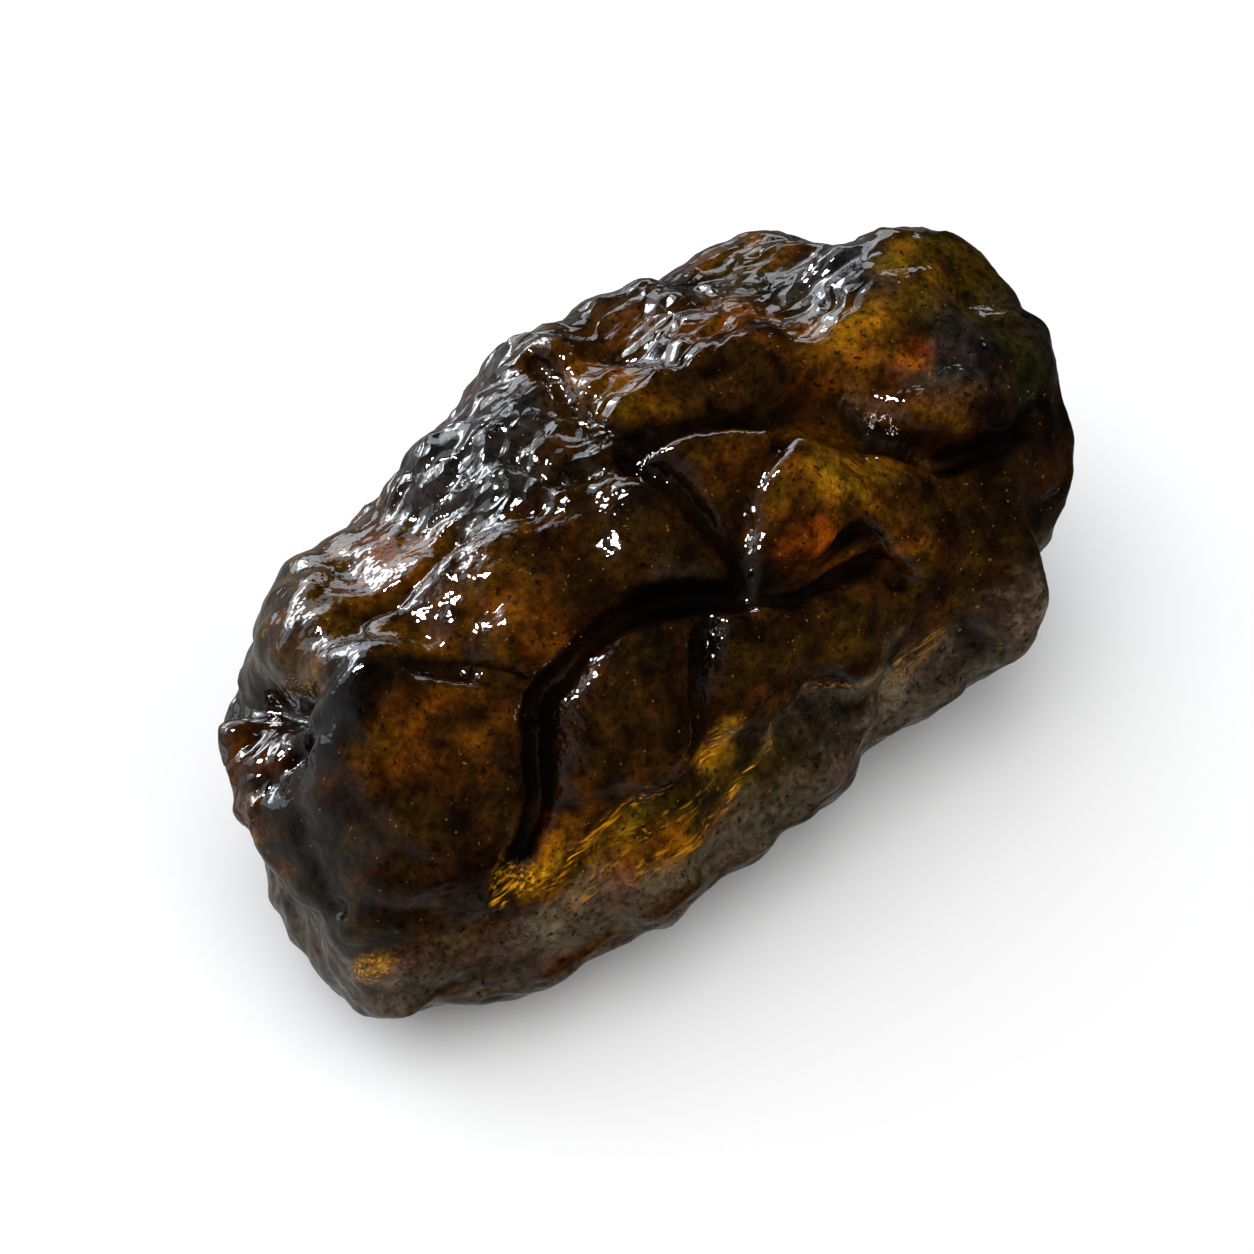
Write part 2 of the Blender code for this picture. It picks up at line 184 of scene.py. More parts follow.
# Waves in random directions. Those in BENDS shift the whole pattern sideways, and those in RELIEF raise and
# lower the surface. Each: wavelength, how far they push, how many.
BENDS = (9.0, 0.35, 9)
RELIEF = ((6.5, 0.22, 14), (2.6, 0.09, 24))
SEED = 23

# The underside is worn flat at z = 0, with its edge rounded over about this much.
WORN_EDGE = 1.5

# ---------------------------------------------------------------- what only the looks have

# The mesh: a cube's grid is blown up to a ball, stretched over the lump from points of a line inside it, and
# split once more.
CUBE_CUTS = 59
AXIS_HALF = 17.5
STRETCH = (36.0, 22.0, 20.0)
REACH = 24.0
SEARCH_STEPS = 40
HALVINGS = 12
PROBE = 0.03

# Both meshes, before and after the split, are evened out: rounds, and the share of each point's way.
COARSE_EVENING = (8, 0.6)
FINE_EVENING = (3, 0.5)
LEAST_STEEP = 0.2
LARGEST_STEP = 0.25

# The fine relief: how far each kind rises, and how it is drawn out along the length.
UNEVEN_RISE = 0.07
WRINKLE_RISE = 0.22
WRINKLE_STRETCH = (0.4, 1.0, 1.0)
STREAK_RISE = 0.16
STREAK_STRETCH = (0.16, 1.0, 1.0)

# The crown and the far side are crumpled: the clock angles over which this comes in and goes out, the
# stations over which it grows to the left, and its share on the right.
CRUMPLED_FROM = (84, 100)
CRUMPLED_TO = (160, 190)
CRUMPLED_LEFT = (6, -8)
CRUMPLED_SHARE = 0.45

# The skirt fades out between these heights.
SKIRT_TOP = (7.5, 10.5)

# The regions' edges wander by up to about this many degrees, and by shares of it along X and Z.
WANDER = 12
WANDER_X = 0.3
WANDER_Z = 0.12

# The dark crust and painted shade. A furrow of the full dip is wholly dark. So is a hollow, where shade is
# painted from how open the surface is within each reach, and its first share stays unshaded.
FULL_DIP = 1.9
CRUST_AND_SHADE_DARK = 1.1
HOLLOW_REACHES = (0.9, 2.6)
HOLLOW_UNSHADED = 0.3

# Colours of the resin, as linear red, green and blue.
TONES = {
    "gold": (0.33, 0.14, 0.004),
    "yellow": (0.125, 0.062, 0.002),
    "ochre": (0.11, 0.034, 0.001),
    "olive": (0.066, 0.032, 0.001),
    "orange": (0.115, 0.033, 0.001),
    "ember": (0.17, 0.037, 0.001),
    "rust": (0.06, 0.012, 0.001),
    "brown": (0.058, 0.019, 0.001),
    "umber": (0.026, 0.0095, 0.001),
    "moss": (0.012, 0.0105, 0.0025),
    "smoke": (0.03, 0.021, 0.013),
    "haze": (0.18, 0.128, 0.08),
    "slate": (0.02, 0.018, 0.016),
    "pitch": (0.0022, 0.0014, 0.0009),
}
BED_TONE = "umber"
LOBE_TONES = {
    "ochre": ("crest_nose", "crest_long", "round_boss", "upper_left", "round_boss_foot"),
    "olive": ("shoulder", "far_7", "skirt_3", "upper_left_lip"),
    "orange": ("under_shoulder", "far_4", "far_3", "skirt_2"),
    "rust": ("valley_grain", "tip_brow"),
    "brown": ("wedge", "left_brow", "upper_left_bead", "round_boss_tail", "tip_side", "long_left",
              "far_left_2", "far_crest_1", "far_crest_5", "far_2", "far_5", "far_6", "far_9", "far_10",
              "far_11", "far_12", "end_1", "skirt_1", "tip"),
    "umber": ("knuckle_1", "knuckle_2", "knuckle_3", "end_boss", "end_boss_side", "end_2", "lower_right",
              "saddle_2", "saddle_bed", "lower_middle_right", "lower_middle", "centre", "left_cheek"),
    "moss": ("end_ridge", "end_5"),
    "smoke": ("left_side", "left_side_toe", "corner_knob", "skirt_4", "skirt_5", "far_crest_2", "far_crest_4",
              "far_left_1", "far_1", "far_8", "end_3", "end_4", "upper_left_back"),
    "slate": ("shoulder_step", "far_crest_3", "far_left_3", "far_left_4", "far_left_5", "saddle_1",
              "saddle_3"),
}

# How much painted shade darkens a lobe towards its rim, between which shares of its size, and over how many
# millimetres two lobes' tones mix.
RIM_PAINTED_SHADE = 0.5
RIM_EDGE = (0.5, 1.0)
TONE_BLEND = 0.4

# Unevenness of the colours, as shares: of light and dark in blotches and in smaller clouds, how much of it is
# lost on the skirt, how dark and light it may get, and how the warmest blotches shift red, green and blue.
BLOTCH_SWING = 0.9
CLOUD_SWING = 1.1
SKIRT_CALM = 0.65
MOTTLE_RANGE = (0.25, 2.0)
WARM_SHIFT = (0.10, -0.06, 0.0)

# How much haze covers the skirt, how far that swings in streaks, and the most there is.
HAZE_SHARE = 0.6
HAZE_SWING = 0.9
HAZE_MOST = 0.9

# Stains and the painted gleams are ovals that fade out between these shares of their size, which the
# raggedness adds to or takes from. A stain of strength 1 covers this share of what is under it.
STAIN_EDGE = (0.5, 1.35)
STAIN_RAGGED = 0.45
STAIN_SHARE = 0.7
GLEAM_EDGE = (0.5, 1.4)
GLEAM_RAGGED = 0.35

# Stains in the resin: station, clock, half length, half width, turn, tone, strength. The pitch stains along
# the furrows and in the dark valley are crust with painted shade, and the gold and ember stains on the skirt,
# by the gleams, are painted glow of light through the resin.
STAINS = (
    (18.8, 71, 1.7, 1.2, 20, "ember", 1.3),
    (17.5, 86, 3.8, 2.4, -20, "gold", 0.6),
    (15.5, 92, 3.0, 1.6, -20, "yellow", 0.4),
    (12.0, 86, 2.6, 1.6, -30, "orange", 1.2),
    (14.6, 79, 0.6, 0.5, 0, "pitch", 1.0),
    (8.2, 98, 4.4, 3.2, -20, "umber", 1.4),
    (11.2, 102, 2.0, 1.6, -20, "brown", 0.7),
    (2.6, 108, 2.6, 1.8, -40, "olive", 0.6),
    (21.5, 66, 2.8, 2.4, 40, "slate", 1.0),
    (24.5, 72, 2.4, 1.8, 0, "moss", 0.9),
    (22.5, 96, 2.2, 1.0, -30, "yellow", 0.7),
    (8.8, 51, 3.9, 3.0, -20, "gold", 1.3),
    (6.3, 52, 2.2, 1.6, 40, "orange", 1.1),
    (4.9, 45, 2.2, 1.7, 0, "ember", 1.4),
    (7.7, 40, 1.5, 1.1, 40, "pitch", 0.9),
    (12.4, 38, 3.2, 2.4, -30, "umber", 1.2),
    (22.0, 25, 5.5, 4.5, 0, "pitch", 0.6),
    (-1.5, 70, 3.6, 3.2, -60, "pitch", 0.6),
    (8.6, 97, 4.0, 2.6, -20, "pitch", 0.4),
    (-21.5, 30, 5.0, 4.6, 80, "pitch", 0.4),
    (-15.5, 74, 3.0, 2.0, -15, "umber", 0.7),
    (11.4, 60, 2.6, 1.2, -30, "umber", 0.6),
    (9.5, 52, 1.0, 0.9, 0, "umber", 0.7),
    (-3.3, 56, 2.6, 1.2, -20, "slate", 0.5),
    # Pitch along the furrows: crust with painted shade.
    (1.6, 48, 2.2, 1.1, -30, "pitch", 1.2),
    (1.3, 60, 1.7, 0.6, -80, "pitch", 1.0),
    (-2.5, 49, 3.0, 0.9, -15, "pitch", 1.0),
    (-15.3, 28, 3.4, 0.9, -70, "pitch", 0.9),
    (14.6, 30, 2.6, 2.2, -30, "umber", 0.8),
    (20.5, 42, 3.4, 1.3, -30, "pitch", 0.9),
    (26.6, 60, 3.4, 1.8, 70, "slate", 0.8),
    (17.8, 356, 3.2, 2.0, 0, "haze", 0.7),
    (-12.6, 74, 3.8, 2.6, -15, "ochre", 0.75),
    (-15.4, 78, 2.2, 1.6, -15, "olive", 0.5),
    (-10.3, 62, 2.4, 1.2, -15, "orange", 0.6),
    (-8.3, 60, 2.2, 1.0, -30, "rust", 0.9),
    (-7.2, 72, 2.8, 2.4, -20, "umber", 1.2),
    (-16.1, 133, 2.2, 1.8, -40, "yellow", 0.5),
    (-13.6, 119, 2.0, 1.4, -20, "orange", 0.8),
    (-18.6, 117, 2.6, 1.8, 0, "brown", 0.8),
    (-20.3, 103, 1.6, 1.2, 10, "yellow", 0.6),
    (-20.9, 96, 0.6, 0.4, 0, "ember", 1.2),
    # Pitch in the dark valley under the brow: crust with painted shade.
    (-21.5, 82, 3.8, 2.2, -15, "pitch", 1.4),
    (-18.2, 79, 3.2, 1.0, -15, "pitch", 1.1),
    (-18.9, 58, 3.6, 2.2, -25, "ochre", 0.9),
    (-16.6, 60, 1.8, 1.2, -20, "orange", 0.4),
    (-25.2, 20, 3.4, 2.6, 60, "moss", 1.1),
    (-22.6, 43, 2.6, 1.8, 0, "umber", 0.6),
    # The gold and ember stains below, on the skirt by the gleams, are painted glow of light through the
    # resin.
    (-14.8, 17, 1.5, 1.0, 60, "ember", 1.2),
    (-15.0, 9, 2.0, 1.4, 30, "gold", 0.8),
    (-13.2, 12, 2.2, 1.4, 10, "brown", 0.8),
    (-4.8, 11, 2.1, 1.6, 30, "gold", 1.2),
    (-5.4, 16, 0.9, 0.5, 70, "ember", 1.3),
    (-17.0, 3, 2.4, 1.2, 12, "gold", 0.6),
    (-25.4, 343, 1.6, 0.8, 20, "gold", 0.8),
    (-11.9, 359, 3.4, 1.6, 8, "yellow", 1.1),
    (-7.3, 353, 2.6, 1.4, 6, "yellow", 0.9),
    (-7.0, 2, 2.6, 1.1, 10, "moss", 1.2),
    (-20.5, 358, 2.4, 1.4, 10, "slate", 0.8),
    (-16.0, 350, 3.6, 1.5, 8, "haze", 0.8),
    (-2.0, 352, 4.0, 1.2, 4, "brown", 0.8),
    (4.5, 4, 4.5, 1.3, 6, "haze", 0.6),
    (9.0, 355, 3.5, 1.4, 0, "haze", 0.7),
    (11.4, 1, 2.2, 1.2, 10, "orange", 0.5),
    (3.8, 20, 2.2, 1.4, 20, "olive", 0.5),
    (-26.4, 78, 1.0, 0.8, 60, "yellow", 1.1),
    (-27.3, 50, 1.8, 1.0, 60, "orange", 0.7),
    (-24.5, 106, 1.4, 0.8, 30, "rust", 0.8),
    (17.5, 135, 2.4, 1.6, 0, "olive", 0.8),
    (17.9, 22, 2.4, 1.6, 30, "umber", 0.6),
    (-7.5, 44, 2.4, 1.4, 0, "moss", 0.5),
)

# Painted threads of gold glow in the skirt, standing in for light through the resin: station, clock, half
# length, half width, turn, strength.
GLEAMS = (
    (-17.6, 4, 2.0, 0.9, 12, 1.6),
    (-19.3, 358, 0.8, 0.5, 30, 1.3),
    (-14.6, 2, 2.2, 0.5, 16, 1.2),
    (-11.6, 7, 2.4, 0.5, 14, 1.0),
    (-9.2, 359, 3.4, 0.7, 8, 0.40),
    (-12.5, 354, 3.2, 0.5, 8, 0.5),
    (-3.4, 358, 1.8, 0.4, 20, 1.2),
    (0.6, 3, 2.0, 0.4, 16, 1.1),
    (3.8, 5, 2.0, 0.4, 12, 0.5),
    (-25.4, 343, 1.6, 0.6, 20, 1.3),
    (-5.0, 13, 1.6, 1.1, 30, 0.9),
    (9.0, 358, 3.0, 0.8, 6, 0.4),
    (-8.6, 352, 3.5, 0.6, 6, 0.6),
)

# Small pocked patches that catch the light: station, clock, radius, strength.
POCKED_SPOTS = (
    (7.7, 92, 1.1, 1.3),
    (12.2, 85, 0.7, 0.8),
    (15.7, 90, 0.7, 0.6),
    (4.3, 61, 0.9, 0.8),
    (4.9, 54, 0.9, 0.7),
    (4.2, 46, 0.8, 0.7),
    (2.3, 112, 1.0, 0.5),
    (-18.2, 64, 1.4, 1.3),
    (-19.5, 71, 1.5, 1.2),
    (-8.7, 52, 1.0, 0.8),
    (-7.3, 50, 0.8, 0.7),
    (-11.1, 41, 1.5, 1.5),
    (-9.7, 38, 1.2, 1.3),
    (-3.4, 37, 1.3, 1.3),
    (-1.2, 38, 0.9, 0.7),
    (-6.0, 20, 0.7, 0.6),
    (-17.6, 81, 0.8, 0.7),
    (-21.4, 104, 0.8, 0.7),
    (-10.6, 92, 1.2, 0.5),
    (0.9, 90, 1.0, 0.7),
    (-2.7, 100, 1.0, 0.6),
    (8.4, 103, 0.7, 0.4),
    (-27.2, 63, 0.5, 0.8),
    (-27.5, 42, 0.6, 0.8),
    (-13.4, 32, 0.6, 0.6),
    (18.7, 56, 0.8, 0.7),
)

# Where the skin is more crumpled (over 0) or calmer (under 0) than round it: station, clock, radius and
# strength.
CRUMPLED_SPOTS = (
    (-19.6, 72, 1.8, 0.5),
    (-9.6, 56, 1.8, 0.7),
    (-11.2, 41, 1.5, 0.6),
    (-2.2, 45, 1.5, 0.6),
    (1.7, 110, 1.8, 0.6),
    (4.3, 63, 1.4, 0.7),
    (-1.5, 95, 3.0, 0.9),
    (8.3, 121, 3.0, 0.7),
    (14.0, 117, 3.5, 0.9),
    (5.5, 117, 2.2, 0.7),
    (10.5, 112, 2.5, 0.8),
    (16.5, 108, 2.5, 0.8),
    (19.0, 104, 2.5, 0.6),
    (21.5, 66, 2.2, 0.8),
    (-23.5, 110, 2.0, 0.5),
    (-11.5, 80, 5.5, -0.9),
    (-14.5, 126, 4.2, -1.0),
    (-18.5, 114, 4.8, -1.1),
    (-20.5, 103, 2.6, -0.5),
    (3.5, 106, 2.6, -0.5),
    (-18.0, 134, 5.0, -0.8),
    (-13.5, 142, 4.0, -0.6),
    (-22.5, 122, 3.2, -0.8),
)

# The skin's bump: how high each kind of relief stands in it.
PORE_RISE = 0.45
POCKED_RISE = 2.4
SWELL_RISE = 1.2
CRINKLE_RISE = 2.4

# The crinkles' net: its cells' size, how far it is warped, and how it is drawn out.
CRINKLE_SIZE = 2.1
CRINKLE_WARP = 3.2
CRINKLE_STRETCH = (0.32, 1.0, 1.0)

# The colour's details, from grain down to flecks, the tone of the crust with its painted shade, the painted
# gold glow in threads, and the painted glints as pale sparks.
GRAIN_SIZE = 0.45
FLECK_SIZE = 0.34
THREAD_SIZE = 0.20
THREAD_STRETCH = (0.14, 1.0, 1.0)
SPECK_TONE = (0.004, 0.002, 0.001)
CRUST_AND_SHADE_TONE = (0.0016, 0.0011, 0.0007)
PAINTED_GLOW_TONE = (1.0, 0.40, 0.012)
PAINTED_GLINT_TONE = (0.36, 0.19, 0.04)

# How much light the resin lets in where it is free of crust and painted shade, and how much more on the
# skirt.
UNDARKENED_CLEAR = 0.25
SKIRT_CLEAR = 0.35

# The camera looks at a point of the lump, in millimetres, from this far.
AZIMUTH = -42.0
ELEVATION = 50.0
AIM = (-2.31, -1.24, 11.46)
DISTANCE = 200.2
LENS = 100.0
SENSOR = 36.0

FLOOR_SIDE = 6.0
FLOOR_WHITE = (0.93, 0.93, 0.93, 1)

# Soft lamps that only light, and panes far behind that mostly show in the gloss. Name: direction, distance
# and size in metres, power in watts, colour, and the rays that miss it.
LAMPS = {
    "top_soft": ((-0.30, 0.12, 1.0), 0.9, (1.6, 1.6), 14.5, (1.0, 1.0, 1.0), "glossy"),
    "fill": ((0.45, -0.75, 0.50), 1.0, (1.4, 0.9), 5.0, (1.0, 1.0, 1.0), "glossy"),
    "sky": ((-0.06, 0.90, 0.40), 0.8, (1.0, 0.5), 2.2, (0.80, 0.90, 1.0), None),
    "back_sky": ((0.35, 0.90, 0.22), 0.9, (1.3, 0.3), 2.6, (0.86, 0.93, 1.0), None),
    "window": ((-0.04, 0.91, 0.40), 0.6, (0.34, 0.12), 1.8, (0.92, 0.97, 1.0), "diffuse"),
    "glint": ((-0.20, 0.50, 0.84), 0.5, (0.08, 0.08), 5.2, (1.0, 1.0, 1.0), "diffuse"),
}

# The dim room is brightest this way, and its glow grows from 0 on the far side of it to 1.
ROOM_BRIGHT_WAY = (-0.743, 0.669, -0.5)
ROOM_GLOW = ((0.0, 0.014), (0.40, 0.014), (0.68, 0.20), (1.0, 0.42))


# ---------------------------------------------------------------- the field

def ellipsoid_distance(points, centre, axes, radii):
    """Close to the distance from an ellipsoid whose local axes are the rows of axes."""
    local = (points - centre) @ axes.T
    near = np.linalg.norm(local / radii, axis=1)
    steep = np.linalg.norm(local / np.square(radii), axis=1)
    return near * (near - 1) / np.maximum(steep, 1e-9)


def smooth_union(a, b, blend):
    mix = np.maximum(blend - np.abs(a - b), 0) / blend
    return np.minimum(a, b) - mix * mix * blend / 4


def smooth_step(low, high, values):
    share = np.clip((values - low) / (high - low), 0, 1)
    return share * share * (3 - 2 * share)


def bulk_distance(points):
    found = None
    for centre, radii in MASSES.values():
        d = ellipsoid_distance(points, np.array(centre), np.eye(3), np.array(radii))
        found = d if found is None else smooth_union(found, d, MASS_BLEND)
    return found


def bulk_normal(point):
    step = 0.05 * np.eye(3)
    slope = bulk_distance(point + step) - bulk_distance(point - step)
    return slope / np.linalg.norm(slope)


def bulk_place(station, clock):
    """The point of the bulk's surface at a station and clock angle."""
    angle = math.radians(clock)
    out = np.array([0.0, -math.cos(angle), math.sin(angle)])
    start = np.array([station, AXIS_Y, AXIS_Z])
    inside, outside = 0.5, 30.0
    for _ in range(30):
        middle = (inside + outside) / 2
        if bulk_distance((start + out * middle)[None])[0] < 0:
            inside = middle
        else:
            outside = middle
    return start + out * inside


def local_axes(place, turn):
    """Ahead, across and out at a place of the bulk's surface, as rows."""
    normal = bulk_normal(place)
    along = np.array([1.0, 0.0, 0.0]) - normal * normal[0]
    along /= np.linalg.norm(along)
    around = np.cross(normal, along)
    angle = math.radians(turn)
    ahead = along * math.cos(angle) + around * math.sin(angle)
    return np.array([ahead, np.cross(normal, ahead), normal])


def lobe_solid(station, clock, long, wide, rise, turn):
    """A lobe as an ellipsoid: its centre, axes and radii."""
    place = bulk_place(station, clock)
    axes = local_axes(place, turn)
    thick = rise / LOBE_SHOWN
    spread = 1 / math.sqrt(1 - (1 - LOBE_SHOWN) ** 2)
    top = place + axes[2] * (rise - BED_DEPTH)
    return top - axes[2] * thick, axes, np.array([long * spread, wide * spread, thick])


def path_distance(points, path, normals):
    """The distance from a path, where only a small share of what lies along its normals counts."""
    found = np.full(len(points), np.inf)
    for start, end, normal in zip(path[:-1], path[1:], normals):
        step = end - start
        share = np.clip((points - start) @ step / (step @ step), 0, 1)
        away = points - start - share[:, None] * step
        away -= (1 - FURROW_SLANT) * np.outer(away @ normal, normal)
        found = np.minimum(found, np.linalg.norm(away, axis=1))
    return found


def within(points, low, high):
    """Which points lie in the box between two corners."""
    return np.flatnonzero(((points > low) & (points < high)).all(axis=1))


def plane_waves(rng, wavelength, count):
    """Wave vectors in random directions, near one wavelength, each with a random phase."""
    ways = rng.normal(size=(count, 3))
    ways /= np.linalg.norm(ways, axis=1)[:, None]
    lengths = wavelength * rng.uniform(0.75, 1.35, count)
    return ways * (2 * math.pi / lengths)[:, None], rng.uniform(0, 2 * math.pi, count)


class Lump:
    """The lump's field, with its lobes, furrows and waves worked out once."""

    def __init__(self):
        self.lobes = {name: lobe_solid(*values) for name, values in LOBES.items()}
        self.furrows = []
        for width, depth, places in FURROWS.values():
            path = np.array([bulk_place(station, clock) for station, clock in places])
            normals = np.array([bulk_normal(place) for place in path])
            self.furrows.append((width, depth, path, normals))
        rng = np.random.default_rng(SEED)
        wavelength, _, count = BENDS
        self.bends = [plane_waves(rng, wavelength, count) for _ in range(3)]
        self.relief = [(push, plane_waves(rng, wavelength, count)) for wavelength, push, count in RELIEF]

    def bent(self, points):
        """The points shifted by the bends."""
        _, push, count = BENDS
        shift = [np.sin(points @ ways.T + phases).sum(axis=1) for ways, phases in self.bends]
        return points + push * math.sqrt(2 / count) * np.stack(shift, axis=1)

    def dips(self, bent):
        """How deep the furrows cut, in millimetres."""
        dip = np.zeros(len(bent))
        for width, depth, path, normals in self.furrows:
            reach = 6 * width + 2
            near = within(bent, path.min(axis=0) - reach, path.max(axis=0) + reach)
            away = path_distance(bent[near], path, normals) / (2 * width)
            dip[near] = np.maximum(dip[near], depth * np.exp(-away ** FURROW_EDGE))
        return dip

    def __call__(self, points):
        bent = self.bent(points)
        found = bulk_distance(bent) + BED_DEPTH
        for centre, axes, radii in self.lobes.values():
            reach = radii.max() + 1.5
            near = within(bent, centre - reach, centre + reach)
            lobe = ellipsoid_distance(bent[near], centre, axes, radii)
            found[near] = smooth_union(found[near], lobe, LOBE_BLEND)
        found += self.dips(bent)
        for push, (ways, phases) in self.relief:
            found += push * math.sqrt(2 / len(phases)) * np.sin(points @ ways.T + phases).sum(axis=1)
        return -smooth_union(-found, points[:, 2], WORN_EDGE)


# ---------------------------------------------------------------- the mesh

def ball_mesh():
    """A cube cut into a grid and blown up to a unit ball, with faces of about one size."""
    cube = bmesh.new()
    bmesh.ops.create_cube(cube, size=2.0)
    bmesh.ops.subdivide_edges(cube, edges=cube.edges[:], cuts=CUBE_CUTS, use_grid_fill=True)
    for vertex in cube.verts:
        vertex.co = Vector([math.tan(c * math.pi / 4) for c in vertex.co]).normalized()
    return cube


def read_points(mesh):
    return np.array([v.co[:] for v in mesh.verts])


def write_points(mesh, points):
    for vertex, point in zip(mesh.verts, points):
        vertex.co = point


def edge_ends(mesh):
    return np.array([[v.index for v in edge.verts] for edge in mesh.edges])


def farthest_crossing(lump, starts, ways):
    """How far out along each way the lump's surface is last crossed."""
    steps = np.linspace(0.0, REACH, SEARCH_STEPS)
    inside = np.zeros(len(starts))
    for step in steps:
        inside[lump(starts + ways * step) < 0] = step
    outside = inside + steps[1]
    for _ in range(HALVINGS):
        middle = (inside + outside) / 2
        found_inside = lump(starts + ways * middle[:, None]) < 0
        inside = np.where(found_inside, middle, inside)
        outside = np.where(found_inside, outside, middle)
    return inside


def slopes(lump, points, values):
    """How fast the field grows along X, Y and Z at each point."""
    found = np.empty_like(points)
    for axis in range(3):
        step = np.zeros(3)
        step[axis] = PROBE
        found[:, axis] = (lump(points + step) - values) / PROBE
    return found


def evened(lump, points, edges, rounds, share):
    """The points slid along the surface until the faces are more alike, and drawn back onto it."""
    ends = np.concatenate([edges, edges[:, ::-1]])
    count = np.bincount(ends[:, 0], minlength=len(points))
    for _ in range(rounds):
        sums = [np.bincount(ends[:, 0], points[ends[:, 1], axis], len(points)) for axis in range(3)]
        shift = np.stack(sums, axis=1) / count[:, None] - points
        slope = slopes(lump, points, lump(points))
        steep = np.maximum((slope * slope).sum(axis=1), LEAST_STEEP)
        normal = slope / np.sqrt(steep)[:, None]
        points = points + share * (shift - normal * (shift * normal).sum(axis=1)[:, None])
        back = -(lump(points) / steep)[:, None] * slope
        size = np.maximum(np.linalg.norm(back, axis=1), 1e-9)
        points = points + back * np.minimum(1, LARGEST_STEP / size)[:, None]
    return points


def lump_mesh(lump):
    """The lump as a bmesh in millimetres, on the field's surface."""
    mesh = ball_mesh()
    ball = read_points(mesh)
    axis = np.array([0.0, AXIS_Y, AXIS_Z])
    starts = ball * (AXIS_HALF, 0, 0) + axis
    ways = ball * STRETCH + axis - starts
    ways /= np.linalg.norm(ways, axis=1)[:, None]
    points = starts + ways * farthest_crossing(lump, starts, ways)[:, None]
    write_points(mesh, evened(lump, points, edge_ends(mesh), *COARSE_EVENING))
    bmesh.ops.subdivide_edges(mesh, edges=mesh.edges[:], cuts=1, use_grid_fill=True)
    mesh.verts.index_update()
    write_points(mesh, evened(lump, read_points(mesh), edge_ends(mesh), *FINE_EVENING))
    return mesh


# ---------------------------------------------------------------- fine relief

def noise_at(points, size, octaves, seed):
    """Smooth noise between about -1 and 1, with features of about the given size."""
    shift = Vector((7.3 * seed, -3.1 * seed, 5.7 * seed))
    return np.array([noise.fractal(Vector(p) + shift, 1.0, 2.0, octaves, noise_basis="PERLIN_ORIGINAL")
                     for p in points / size])


def clock_of(points):
    """The clock angle of each point."""
    return np.degrees(np.arctan2(points[:, 2] - AXIS_Z, AXIS_Y - points[:, 1])) % 360


def relief_height(points, masks):
    """How far the fine relief lifts the surface, in millimetres. It fades out at the worn underside."""
    twist = 0.6 * noise_at(points, 3.0, 2, seed=4)
    ridges = 1 - 2.2 * np.abs(noise_at(points * WRINKLE_STRETCH + twist[:, None], 1.9, 2, seed=1))
    height = UNEVEN_RISE * noise_at(points, 1.1, 3, seed=2)
    height += masks["crumpled"] * WRINKLE_RISE * (ridges - 0.3)
    height += masks["skirt"] * STREAK_RISE * noise_at(points * STREAK_STRETCH, 1.1, 2, seed=10)
    return height * smooth_step(0.0, WORN_EDGE, points[:, 2])


# ---------------------------------------------------------------- painting

def spots(bent, table):
    """The sum of soft round spots on the surface."""
    found = np.zeros(len(bent))
    for station, clock, radius, strength in table:
        away = np.linalg.norm(bent - bulk_place(station, clock), axis=1) / radius
        found += strength * np.exp(-away * away)
    return found


def oval_patch(bent, ragged, oval, edge):
    """The points near an oval patch, and the patch's share at each: 1 inside and 0 beyond its ragged edge."""
    station, clock, long, wide, turn = oval
    place = bulk_place(station, clock)
    reach = 1.8 * long + 2
    near = within(bent, place - reach, place + reach)
    local = (bent[near] - place) @ local_axes(place, turn).T
    away = np.hypot(local[:, 0] / long, local[:, 1] / wide) + ragged[near]
    return near, 1 - smooth_step(*edge, away)


def gleams(points, bent):
    """How strongly the painted threads of gold glow show at each point."""
    ragged = GLEAM_RAGGED * noise_at(points, 0.9, 2, seed=3)
    found = np.zeros(len(points))
    for *oval, strength in GLEAMS:
        near, share = oval_patch(bent, ragged, oval, GLEAM_EDGE)
        found[near] = np.maximum(found[near], strength * share)
    return found


def region_masks(lump, points):
    """Soft masks of the lump's regions at each point: 0 outside, and about 1 inside."""
    bent = lump.bent(points)
    wander = WANDER * noise_at(points, 6.0, 2, seed=9)
    clock = clock_of(points) + wander
    over = smooth_step(*CRUMPLED_FROM, clock) * (1 - smooth_step(*CRUMPLED_TO, clock))
    left = smooth_step(*CRUMPLED_LEFT, points[:, 0] + WANDER_X * wander)
    crumpled = over * (CRUMPLED_SHARE + (1 - CRUMPLED_SHARE) * left)
    return {
        "furrow": np.clip(lump.dips(bent) / FULL_DIP, 0, 1) ** 1.2,
        "crumpled": np.clip(crumpled + spots(bent, CRUMPLED_SPOTS), 0, 1),
        "pocked": np.clip(spots(bent, POCKED_SPOTS), 0, 1.5),
        "skirt": 1 - smooth_step(*SKIRT_TOP, points[:, 2] + WANDER_Z * wander),
        "gleam": gleams(points, bent),
    }


